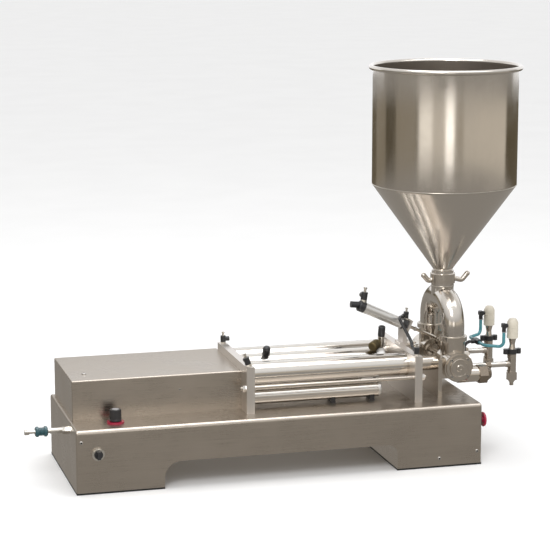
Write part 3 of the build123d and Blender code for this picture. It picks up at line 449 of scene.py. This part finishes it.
def make_hopper():
    base = low("hopper").z
    rim_z = high("hopper").z - RIM_ROLL
    centre = Vector((middle("hopper").x, middle("hopper").y, 0))
    outer = (high("hopper").x - low("hopper").x) / 2 - 2 * RIM_ROLL + SHEET
    seam = seam_height()
    cone_foot = base + NECK_LENGTH + NECK_BEND
    cone_top = seam - SEAM_BELOW
    outside = [
        (base, NECK_RADIUS),
        (base + NECK_LENGTH, NECK_RADIUS),
        (cone_foot, NECK_RADIUS + NECK_FLARE),
        (cone_top, outer - SEAM_DRAW_IN),
        (seam - 1 * MM, outer - 0.6 * MM),
        (seam + SEAM_ABOVE, outer),
        (rim_z - 4 * MM, outer),
        (rim_z, outer),
    ]
    inside = [
        (rim_z, outer - SHEET),
        (rim_z - 4 * MM, outer - SHEET),
        (seam + SEAM_ABOVE, outer - SHEET),
        (seam - 1 * MM, outer - SHEET - 0.6 * MM),
        (cone_top, outer - SHEET - SEAM_DRAW_IN),
        (cone_foot, NECK_RADIUS - SHEET + NECK_FLARE),
        (base, NECK_RADIUS - SHEET),
    ]
    curl = []
    for k in range(20):
        a = 2 * math.pi * k / 20
        curl.append((rim_z + RIM_ROLL * math.sin(a), outer + RIM_ROLL - SHEET + RIM_ROLL * math.cos(a)))

    shell = bmesh.new()
    add_lathe(shell, centre, Z, outside, 160)
    remove_end_faces(shell)
    shell_piece = keep("hopper_shell", shell, "machine", "stainless_hopper", angle=40)
    lining = bmesh.new()
    add_lathe(lining, centre, Z, inside, 160)
    remove_end_faces(lining)
    # The lining carries the darker stainless: painted shade inside the hopper.
    lining_piece = keep("hopper_lining", lining, "machine", "stainless_hopper", angle=40, mat=HOPPER_LINING_SHADED)
    lining_piece.data.flip_normals()
    lathe("hopper_rim_roll", "machine", "stainless_hopper", centre, Z, curl, 160, closed=True, angle=60)
    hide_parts("hopper")

    beads = bmesh.new()
    add_bead(beads, centre + Z * seam, Z, outer - 0.6 * MM, WELD_SIZE, 480, 240)
    add_bead(beads, centre + Z * cone_foot, Z, NECK_RADIUS + 0.9 * MM, WELD_SIZE)
    keep("hopper_weld_rings", beads, "machine", "stainless_hopper", mat=WELD)

    side = Vector((math.cos(LONG_WELD_ANGLE), math.sin(LONG_WELD_ANGLE), 0))
    proud = 0.1 * MM
    wall = [centre + side * (outer + proud) + Z * (seam + SEAM_ABOVE)]
    for k in range(1, LONG_WELD_STEPS + 1):
        height = seam + (rim_z - 8 * MM - seam) * k / LONG_WELD_STEPS
        wall.append(centre + side * (outer + proud) + Z * height)
    cone = []
    first = cone_foot + 4 * MM
    last = cone_top - 1 * MM
    slope = (outer - SEAM_DRAW_IN - NECK_RADIUS - NECK_FLARE) / (cone_top - cone_foot)
    for k in range(LONG_WELD_STEPS + 1):
        height = first + (last - first) * k / LONG_WELD_STEPS
        radius = NECK_RADIUS + NECK_FLARE + slope * (height - cone_foot)
        cone.append(centre + side * (radius + proud) + Z * height)
    seams = bmesh.new()
    long_weld(seams, wall)
    long_weld(seams, cone)
    keep("hopper_seam_welds", seams, "machine", "stainless_hopper", mat=WELD)


make_hopper()


# ------------------------------------------------------------------ welds and rings
MANIFOLD_RADIUS = 28 * MM
END_RING_INSET = 7 * MM
END_RING_WIDTH = 5 * MM
END_RING_PROUD = 0.6 * MM


def manifold_welds():
    """Weld beads where the feed pipes meet their flanges and the hopper stub."""
    bm = bmesh.new()
    top = high("feed_manifold").z
    mid = middle("feed_manifold")
    for lo, hi in islands("manifold_flanges"):
        centre = Vector(((lo.x + hi.x) / 2, (lo.y + hi.y) / 2, hi.z))
        add_bead(bm, centre + Z * 0.4 * MM, Z, MANIFOLD_RADIUS + 0.3 * MM, 1.3 * MM)
    add_bead(bm, Vector((mid.x, mid.y, top - 4 * MM)), Z, MANIFOLD_RADIUS, 1.2 * MM)
    keep("manifold_welds", bm, "machine", "stainless_hopper", mat=WELD)


def cylinder_end_rings():
    """Bright ring near each end of the three cylinders."""
    bm = bmesh.new()
    for node in ("product_cylinder_front", "product_cylinder_back", "drive_cylinder"):
        mid = middle(node)
        outer = (high(node).z - low(node).z) / 2
        lip = outer + END_RING_PROUD
        band = [(0, outer), (0, lip), (END_RING_WIDTH, lip), (END_RING_WIDTH, outer)]
        for x, way in ((low(node).x, 1), (high(node).x, -1)):
            start = Vector((x + way * END_RING_INSET, mid.y, mid.z))
            add_lathe(bm, start, X * way, band, 72, closed=True)
    keep("cylinder_end_rings", bm, "machine", "stainless_machined")


manifold_welds()
cylinder_end_rings()


# ------------------------------------------------------------------ fasteners
SOCKET_SHARE = 0.42
THREAD_PITCH = 0.7
THREAD_TURNS = 7


def screw_sockets():
    """Hexagon socket in the head of every button screw, drawn as a thin near-black prism of painted shade
    for the socket's depth.
    """
    bm = bmesh.new()
    centre = (rest_bounds[0] + rest_bounds[1]) / 2
    for lo, hi in islands("screws"):
        size = hi - lo
        k = min(range(3), key=lambda n: size[n])
        mid = (lo + hi) / 2
        axis = Vector((0, 0, 0))
        if k == 2:
            axis.z = 1
        elif k == 1:
            axis.y = 1 if mid.y > centre.y else -1
        else:
            axis.x = 1 if mid.x > centre.x else -1
        face = mid + axis * (size[k] / 2 - 0.25 * MM)
        add_prism(bm, face, axis, max(size) * SOCKET_SHARE, 0.35 * MM)
    keep("screw_sockets", bm, "machine", "steel_fastener", mat=PAINTED_HOLE_SHADE, flat=True)


def rod_ends():
    """Short threaded ends beyond the tie rod nuts."""
    bm = bmesh.new()
    for lo, hi in islands("tie_rod_nuts"):
        mid = (lo + hi) / 2
        way = 1 if mid.x > middle("drive_cylinder").x else -1
        end = hi.x if way > 0 else lo.x
        profile = [(0, 3.9)]
        for k in range(THREAD_TURNS):
            profile += [((k + 0.5) * THREAD_PITCH, 4.2), ((k + 1) * THREAD_PITCH, 3.8)]
        profile.append((5.6, 3.2))
        add_lathe(bm, Vector((end - way * 0.2 * MM, mid.y, mid.z)), X * way, scaled_points(profile), 28)
    keep("tie_rod_threads", bm, "machine", "steel_fastener", angle=50)


def cover_rings():
    """Raised ring and centre boss on the outermost valve covers."""
    bm = bmesh.new()
    covers = sorted(islands("valve_covers"), key=lambda box: box[0].y)
    ring = [(-0.1, 23.5), (0.7, 23.0), (0.9, 21.5), (0.7, 20.0), (-0.1, 19.5)]
    boss = [(-0.2, 9.0), (1.2, 9.0), (1.8, 8.2), (1.8, 3.4), (0.6, 3.0), (0.6, 0)]
    for (lo, hi), way in ((covers[0], -1), (covers[-1], 1)):
        face = lo.y if way < 0 else hi.y
        origin = Vector(((lo.x + hi.x) / 2, face, (lo.z + hi.z) / 2))
        add_lathe(bm, origin, Y * way, scaled_points(ring), 72, closed=True)
        add_lathe(bm, origin, Y * way, scaled_points(boss), 48)
    keep("valve_cover_rings", bm, "machine", "stainless_machined", 0.15 * MM)


screw_sockets()
rod_ends()
cover_rings()


# ------------------------------------------------------------------ nozzles
CAP_HEIGHT = 50.0
CAP_GROOVE_START = 12.0
CAP_GROOVE_PITCH = 6.0
CAP_GROOVES = 4
HEXAGON_CORNERS = 1.155


def nozzle_caps():
    """Moulded actuators with a seam ring, grooves and a domed top."""
    profile = [(0, 11.2), (0, 13.6), (0.6, 14.0), (5.0, 14.0), (5.5, 13.4), (6.3, 13.4), (6.8, 14.0)]
    for k in range(CAP_GROOVES):
        z = CAP_GROOVE_START + CAP_GROOVE_PITCH * k
        profile += [(z, 14.0), (z + 0.7, 13.3), (z + 1.6, 13.3), (z + 2.3, 14.0)]
    profile += [(38.0, 14.0), (41.0, 13.2), (45.0, 11.2), (48.0, 9.6), (49.4, 7.6), (50.0, 4.0)]
    for k, (lo, hi) in enumerate(islands("nozzle_actuators")):
        mid = (lo + hi) / 2
        base = Vector((mid.x, mid.y, lo.z))
        height = hi.z - lo.z
        scale = height / (CAP_HEIGHT * MM)
        shape = [(h * scale, r) for h, r in scaled_points(profile)] + [(height, 0)]
        cap = lathe("nozzle_cap_%d" % k, "machine", "cream_plastic", base, Z, shape, 72, angle=28)
        if k == 0:
            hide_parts("nozzle_actuators")


def nozzle_rings():
    """Raised rings round the nozzle bodies."""
    bm = bmesh.new()
    ring = [(-1.1, 10.3), (-0.8, 11.1), (0.8, 11.1), (1.1, 10.3)]
    for lo, hi in islands("nozzle_bodies"):
        x = hi.x - 11.5 * MM * HEXAGON_CORNERS
        y = (lo.y + hi.y) / 2
        for drop in (3 * MM, 8 * MM, 44 * MM):
            add_lathe(bm, Vector((x, y, hi.z - drop)), Z, scaled_points(ring), 56, closed=True)
    keep("nozzle_rings", bm, "machine", "stainless_machined")


def push_in_collars():
    """Release collars under the two nozzle elbows."""
    bm = bmesh.new()
    ring = [(-1.8, 4.15), (-1.8, 5.6), (-1.2, 6.0), (-0.3, 6.0), (0.0, 4.8), (0.0, 4.15)]
    for lo, hi in islands("push_in_elbows"):
        if hi.x < low("nozzle_bodies").x:
            continue
        port = Vector((lo.x + 6.5 * MM, (lo.y + hi.y) / 2, lo.z))
        add_lathe(bm, port, Z, scaled_points(ring), 40, closed=True)
    keep("push_in_collars", bm, "machine", "grey_plastic")


nozzle_caps()
nozzle_rings()
push_in_collars()


# ------------------------------------------------------------------ controls
FLUTES = 30
FLUTE_DEPTH = 0.55 * MM


def regulator():
    """Fluted knob with a stem, a cap and an index mark."""
    top = high("regulator_knob").z
    ring_top = high("regulator_ring").z
    radius = (high("regulator_knob").x - low("regulator_knob").x) / 2
    mid = Vector((middle("regulator_knob").x, middle("regulator_knob").y, 0))
    levels = [
        (ring_top + 0.4 * MM, 0.93, False),
        (ring_top + 1.2 * MM, 1.0, False),
        (ring_top + 5 * MM, 1.0, False),
        (ring_top + 5.6 * MM, 0.97, True),
        (top - 2.6 * MM, 0.955, True),
        (top - 2.2 * MM, 0.95, False),
        (top - 0.6 * MM, 0.93, False),
        (top, 0.87, False),
    ]
    bm = bmesh.new()
    count = FLUTES * 6
    rings = []
    for z, size, fluted in levels:
        depth = FLUTE_DEPTH if fluted else 0
        ring = []
        for k in range(count):
            a = 2 * math.pi * k / count
            r = radius * size - depth * (0.5 + 0.5 * math.cos(FLUTES * a))
            ring.append(bm.verts.new(mid + Vector((r * math.cos(a), r * math.sin(a), z))))
        rings.append(ring)
    for one, two in zip(rings, rings[1:]):
        for k in range(count):
            n = (k + 1) % count
            bm.faces.new((one[k], one[n], two[n], two[k]))
    bm.faces.new(rings[0][::-1])
    bm.faces.new(rings[-1])
    knob = keep("regulator_grip", bm, "regulator_knob", "black_plastic", angle=35)
    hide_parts("regulator_knob")
    stem = [(low("regulator_knob").z, 4.6 * MM), (ring_top + 1 * MM, 4.6 * MM)]
    lathe("regulator_stem", "regulator_knob", "steel_fastener", mid, Z, stem, 32)
    cap = [(top - 0.2 * MM, 8.5 * MM), (top + 0.4 * MM, 8.2 * MM), (top + 0.5 * MM, 0)]
    lathe("regulator_cap", "regulator_knob", "grey_plastic", mid, Z, cap, 48)
    mark = bmesh.new()
    mark_low = mid + Vector((-0.6 * MM, -radius * 0.84, top - 0.1 * MM))
    mark_high = mid + Vector((0.6 * MM, -9 * MM, top + 0.25 * MM))
    add_box(mark, mark_low, mark_high)
    keep("regulator_mark", mark, "regulator_knob", "cream_plastic", flat=True)


def button():
    """Mushroom stop button and its thin bezel."""
    mid = middle("stop_button")
    face = high("button_collar").x
    origin = Vector((face, mid.y, mid.z))
    stretch = (high("stop_button").x - face) / (15 * MM)
    stem = [(-14.0, 0.0), (-14.0, 7.4)]
    dome = [(7.0, 7.4), (7.0, 16.6), (8.0, 17.8), (10.0, 18.0), (11.6, 17.4)]
    dome += [(13.2, 15.6), (14.3, 12.4), (14.8, 8.0), (15.0, 0.0)]
    shape = scaled_points(stem) + [(h * stretch, r) for h, r in scaled_points(dome)]
    piece = lathe("stop_mushroom", "stop_button", "red_plastic", origin, X, shape, 72)
    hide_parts("stop_button")
    ring = scaled_points([(0.0, 9.0), (0.0, 14.5), (0.4, 14.5), (0.7, 13.8), (0.7, 9.0)])
    lathe("stop_bezel", "machine", "steel_fastener", origin, X, ring, 64, closed=True)


def inlet():
    """Ribbed sleeve of the air inlet and the barbs on its plug."""
    mid = middle("air_inlet_sleeve")
    origin = Vector((low("air_inlet_sleeve").x, mid.y, mid.z))
    shape = [(0.0, 9.2), (0.6, 10.0), (1.6, 10.0), (2.0, 12.0), (2.6, 12.5)]
    shape += [(7.4, 12.5), (8.0, 12.0), (8.4, 10.0)]
    for k in range(6):
        x = 9.4 + 2.0 * k
        shape += [(x, 10.0), (x + 0.4, 9.5), (x + 1.0, 9.5), (x + 1.4, 10.0)]
    shape += [(21.6, 10.0), (22.0, 12.0), (22.6, 12.5), (27.4, 12.5), (28.0, 12.0), (28.4, 10.0)]
    shape += [(29.4, 10.0), (30.0, 9.2), (30.0, 5.3), (0, 5.3)]
    outline = scaled_points(shape)
    sleeve = lathe("inlet_grip", "inlet_sleeve", "teal_sleeve", origin, X, outline, 60, closed=True)
    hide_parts("air_inlet_sleeve")
    barbs = bmesh.new()
    ring = scaled_points([(0.0, 5.9), (0.5, 6.5), (3.0, 5.9)])
    for k in range(3):
        start = Vector((low("air_inlet_plug").x + (0.6 + 3.4 * k) * MM, mid.y, mid.z))
        add_lathe(barbs, start, X, ring, 40, closed=True)
    keep("inlet_barbs", barbs, "machine", "nickel")


regulator()
button()
inlet()


# ------------------------------------------------------------------ air parts
SILENCER_AXIS = Vector((-22, -18, -6)).normalized()
PORE_BANDS = 5
PORES_ROUND = 22
BARREL_LENGTH = 107 * MM


def silencer_slots():
    """Bands of small pores round the exhaust silencer, each a thin near-black prism of painted shade for
    the pore's depth.
    """
    u, v, _ = basis(SILENCER_AXIS)
    bm = bmesh.new()
    for band in range(PORE_BANDS):
        along = ((band - PORE_BANDS // 2) * 3.4 + 5.0) * MM
        for k in range(PORES_ROUND):
            a = 2 * math.pi * (k + 0.5 * (band % 2)) / PORES_ROUND
            out = u * math.cos(a) + v * math.sin(a)
            place = middle("silencer") + SILENCER_AXIS * along + out * 12.0 * MM
            add_prism(bm, place, out, 1.5 * MM, 0.45 * MM, 8)
    keep("silencer_pores", bm, "machine", "sintered_bronze", mat=PAINTED_HOLE_SHADE, flat=True)


def rod_nut_and_wiper():
    """Lock nut on the actuator rod, and a wiper ring where the rod leaves the nose cap."""
    travel = joint_axis("actuator_stroke")
    nose_low, nose_high = max(islands("actuator_end_caps"), key=lambda box: box[1].x)
    centre = (nose_low + nose_high) / 2
    bm = bmesh.new()
    add_prism(bm, centre + travel * 32 * MM, travel, 10 * MM, 4 * MM)
    keep("rod_lock_nut", bm, "actuator_rod", "steel_fastener", 0.3 * MM, flat=True)
    wiper = scaled_points([(7.0, 4.3), (7.0, 7.6), (8.2, 7.2), (8.8, 5.6), (8.8, 4.3)])
    lathe("rod_wiper", "machine", "seal", centre, travel, wiper, 40, closed=True)


def barrel_bands():
    """Rolled bands where the barrel is crimped to its caps."""
    travel = joint_axis("actuator_stroke")
    centre = middle("actuator_barrel")
    half = BARREL_LENGTH / 2
    ring = scaled_points([(-1.0, 13.4), (-0.6, 14.0), (0.6, 14.0), (1.0, 13.4)])
    bm = bmesh.new()
    for along in (-half + 5 * MM, -half + 9 * MM, half - 5 * MM, half - 9 * MM):
        add_lathe(bm, centre + travel * along, travel, ring, 56, closed=True)
    keep("barrel_bands", bm, "machine", "aluminium")


silencer_slots()
rod_nut_and_wiper()
barrel_bands()


# ------------------------------------------------------------------ stage, light, camera
WARM = (1.0, 0.95, 0.88)
COOL = (0.97, 0.98, 1.0)
STRIP_FOOT = 0.25
STRIP_TOP = 0.66
STRIP_DISTANCE = 2.1
BACKDROP_DISTANCE = 3.3
# Start and end of each reflected strip, in degrees round the hopper, and its brightness.
STRIPS = (
    (55, 116, 0.13),
    (116, 146, 0.30),
    (146, 169, 0.11),
    (169, 205, 0.34),
    (205, 210, 0.18),
    (210, 231, 1.35),
    (231, 251, 0.80),
    (251, 264, 2.3),
    (264, 278, 0.50),
    (278, 358, 0.74),
    (358, 415, 0.13),
)


def place_object(name, bm):
    """Put a bmesh into the scene as a plain object."""
    mesh = bpy.data.meshes.new(name)
    bm.to_mesh(mesh)
    bm.free()
    thing = bpy.data.objects.new(name, mesh)
    bpy.context.scene.collection.objects.link(thing)
    return thing


def stage_floor():
    """Pale floor, large enough that its edge never shows."""
    bm = bmesh.new()
    bmesh.ops.create_grid(bm, x_segments=1, y_segments=1, size=90.0)
    floor = place_object("floor", bm)
    floor.location = (0, 0, rest_bounds[0].z - 0.5 * MM)
    mat, tree, bsdf = node_tree("floor")
    slow = noise_node(tree, (1, 1, 1), 3.0, 2.0)
    paleness = tint(tree, slow.outputs["Fac"], (0.89, 0.89, 0.89), (0.91, 0.91, 0.91))
    tree.links.new(paleness, bsdf.inputs["Base Color"])
    bsdf.inputs["Roughness"].default_value = 0.85
    bsdf.inputs["Specular IOR Level"].default_value = 0.1
    floor.data.materials.append(mat)


def card(name, bm, colour, strength):
    """Studio card seen only in reflections; it neither lights nor shades the floor."""
    board = place_object(name, bm)
    mat = bpy.data.materials.new(name)
    mat.use_nodes = True
    tree = mat.node_tree
    tree.nodes.remove(tree.nodes["Principled BSDF"])
    glow = tree.nodes.new("ShaderNodeEmission")
    glow.inputs["Color"].default_value = (*colour, 1)
    glow.inputs["Strength"].default_value = strength
    tree.links.new(glow.outputs[0], tree.nodes["Material Output"].inputs["Surface"])
    board.data.materials.append(mat)
    board.visible_camera = False
    board.visible_diffuse = False
    board.visible_shadow = False
    board.visible_transmission = False


def curved_wall(centre, radius, start, end, steps, foot, top):
    """Part of an upright cylinder between two angles in degrees."""
    bm = bmesh.new()
    row = []
    for k in range(steps + 1):
        a = math.radians(start + (end - start) * k / steps)
        x = centre.x + radius * math.cos(a)
        y = centre.y + radius * math.sin(a)
        row.append((bm.verts.new((x, y, foot)), bm.verts.new((x, y, top))))
    for one, two in zip(row, row[1:]):
        bm.faces.new((one[0], two[0], two[1], one[1]))
    return bm


def strip_tone(value):
    """Colour of a strip: the darker it is, the warmer."""
    warmth = 1 / (1 + 3 * value)
    return (1.0, 1 - 0.25 * warmth, 1 - 0.65 * warmth)


def studio_cards():
    """Darker ground, upright strips, a backdrop and an overhead softbox for the metal to reflect."""
    ground = bmesh.new()
    bmesh.ops.create_circle(ground, cap_ends=True, segments=64, radius=40.0)
    bmesh.ops.translate(ground, vec=(0, 0, rest_bounds[0].z - 0.3 * MM), verts=ground.verts[:])
    card("reflected_ground", ground, WARM, 0.36)
    for k, (start, end, value) in enumerate(STRIPS):
        steps = max(2, int((end - start) / 4))
        strip = curved_wall(middle("hopper"), STRIP_DISTANCE, start, end, steps, STRIP_FOOT, STRIP_TOP)
        card("strip_%02d" % k, strip, strip_tone(value), value)
    backdrop = curved_wall(Vector((0, 0, 0)), BACKDROP_DISTANCE, 15, 135, 24, STRIP_TOP, 2.6)
    card("backdrop_card", backdrop, COOL, 1.25)
    overhead = bmesh.new()
    bmesh.ops.create_grid(overhead, x_segments=1, y_segments=1, size=1.0)
    bmesh.ops.scale(overhead, vec=(2.4, 0.55, 1), verts=overhead.verts[:])
    bmesh.ops.translate(overhead, vec=(0, -0.9, 3.0), verts=overhead.verts[:])
    card("overhead_strip", overhead, COOL, 3.2)


def studio_sky():
    """Pale sky that darkens towards the horizon and below it."""
    world = bpy.data.worlds.new("studio")
    bpy.context.scene.world = world
    world.use_nodes = True
    tree = world.node_tree
    coords = tree.nodes.new("ShaderNodeTexCoord")
    split = tree.nodes.new("ShaderNodeSeparateXYZ")
    tree.links.new(coords.outputs["Generated"], split.inputs["Vector"])
    sky = tree.nodes.new("ShaderNodeValToRGB")
    sky.color_ramp.elements[0].position = 0.0
    sky.color_ramp.elements[0].color = (0.42, 0.41, 0.40, 1)
    sky.color_ramp.elements[1].position = 1.0
    sky.color_ramp.elements[1].color = (1.0, 1.0, 1.0, 1)
    for position, value in ((0.12, 0.55), (0.3, 0.75), (0.5, 0.95)):
        stop = sky.color_ramp.elements.new(position)
        stop.color = (value, value, value, 1)
    tree.links.new(split.outputs["Z"], sky.inputs["Fac"])
    background = tree.nodes["Background"]
    tree.links.new(sky.outputs["Color"], background.inputs["Color"])
    background.inputs["Strength"].default_value = 1.05


def area_light(name, location, target, size, power):
    """Soft rectangular light aimed at a point."""
    light = bpy.data.lights.new(name, "AREA")
    light.shape = "RECTANGLE"
    light.size, light.size_y = size
    light.energy = power
    lamp = bpy.data.objects.new(name, light)
    lamp.location = location
    lamp.rotation_euler = (Vector(target) - Vector(location)).to_track_quat("-Z", "Y").to_euler()
    lamp.visible_camera = False
    bpy.context.scene.collection.objects.link(lamp)


def camera_view():
    """Long lens, a little above the machine and in front of its left end."""
    lens = bpy.data.cameras.new("camera")
    lens.lens = 131.5
    lens.sensor_width = 36.0
    lens.clip_end = 60.0
    camera = bpy.data.objects.new("camera", lens)
    camera.location = (-1.2682, -4.6322, 1.3705)
    camera.rotation_euler = (math.radians(79.28), math.radians(0.02), math.radians(-15.32))
    bpy.context.scene.collection.objects.link(camera)
    bpy.context.scene.camera = camera
    bpy.context.scene.view_settings.view_transform = "Standard"


stage_floor()
studio_cards()
studio_sky()
area_light("key", (-1.6, -3.4, 3.4), (0, 0, 0.3), (1.4, 1.4), 55)
area_light("top", (0.4, 0.3, 3.6), (0, 0, 0.3), (2.6, 1.4), 45)
camera_view()

bpy.context.view_layer.update()
